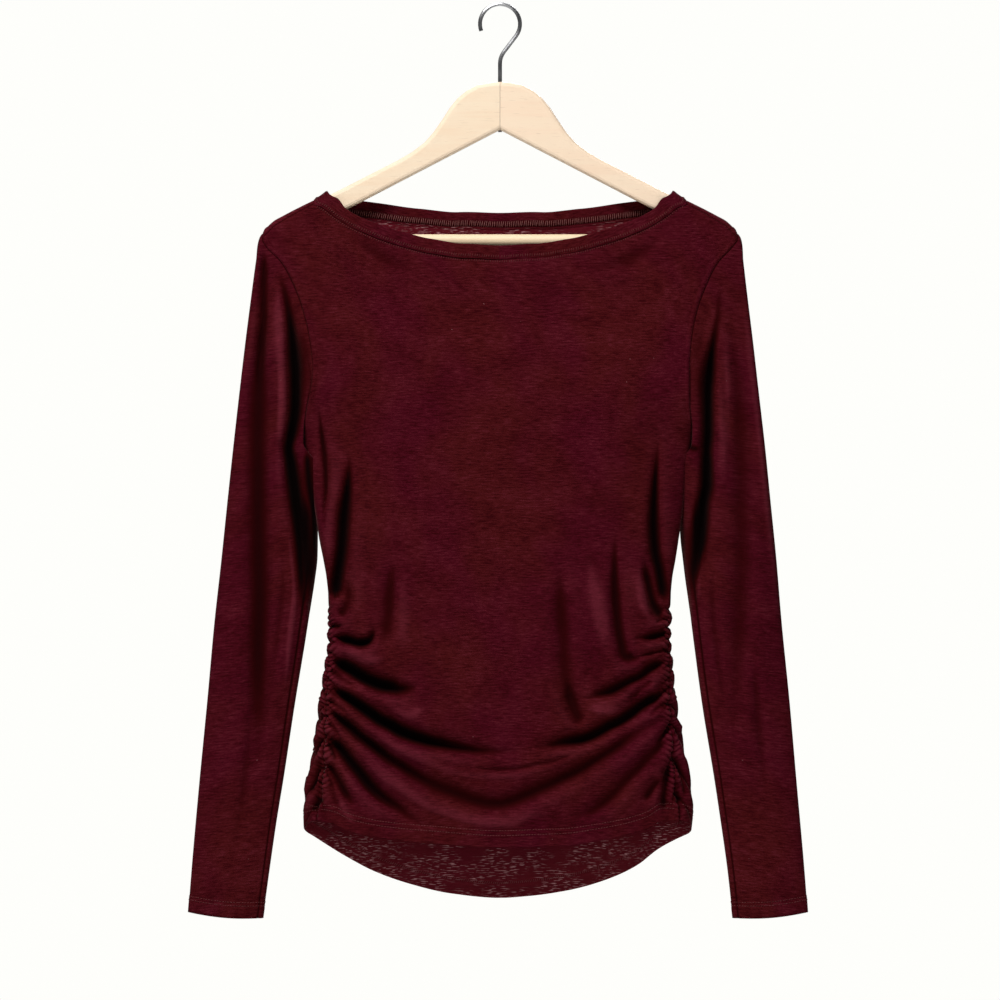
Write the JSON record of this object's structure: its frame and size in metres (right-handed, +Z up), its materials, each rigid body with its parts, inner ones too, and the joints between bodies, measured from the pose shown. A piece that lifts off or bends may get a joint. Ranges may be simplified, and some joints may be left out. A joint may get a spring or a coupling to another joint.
{
  "type": "boat neck top on a wooden hanger",
  "caption": "Long-sleeved jersey top with a boat neck, gathered sides and a curved hem, hung flat on a wooden hanger with a bar and wire hook.",
  "frame": {"origin": "inner crown of the hook, where a rail carries the hanger", "axes": "+Z up, the front of the top faces -Y, X across the shoulders; left in names is the -X side, the left of the picture"},
  "size_m": [0.5578, 0.0661, 0.8245],
  "materials": {
    "jersey": "fine slub jersey, dark wine, soft and matt with a low sheen",
    "pale_wood": "pale smooth wood, clear satin finish",
    "bar_wood": "pale turned wood, plain",
    "wire": "bright plated steel wire"
  },
  "bodies": {
    "root": {"front_panel": "jersey", "back_panel": "jersey", "sleeve_left": "jersey", "sleeve_right": "jersey", "neckband": "jersey", "hanger_arm_left": "pale_wood", "hanger_arm_right": "pale_wood", "hanger_bar": "bar_wood", "hanger_hook": "wire"}
  },
  "joints": []
}
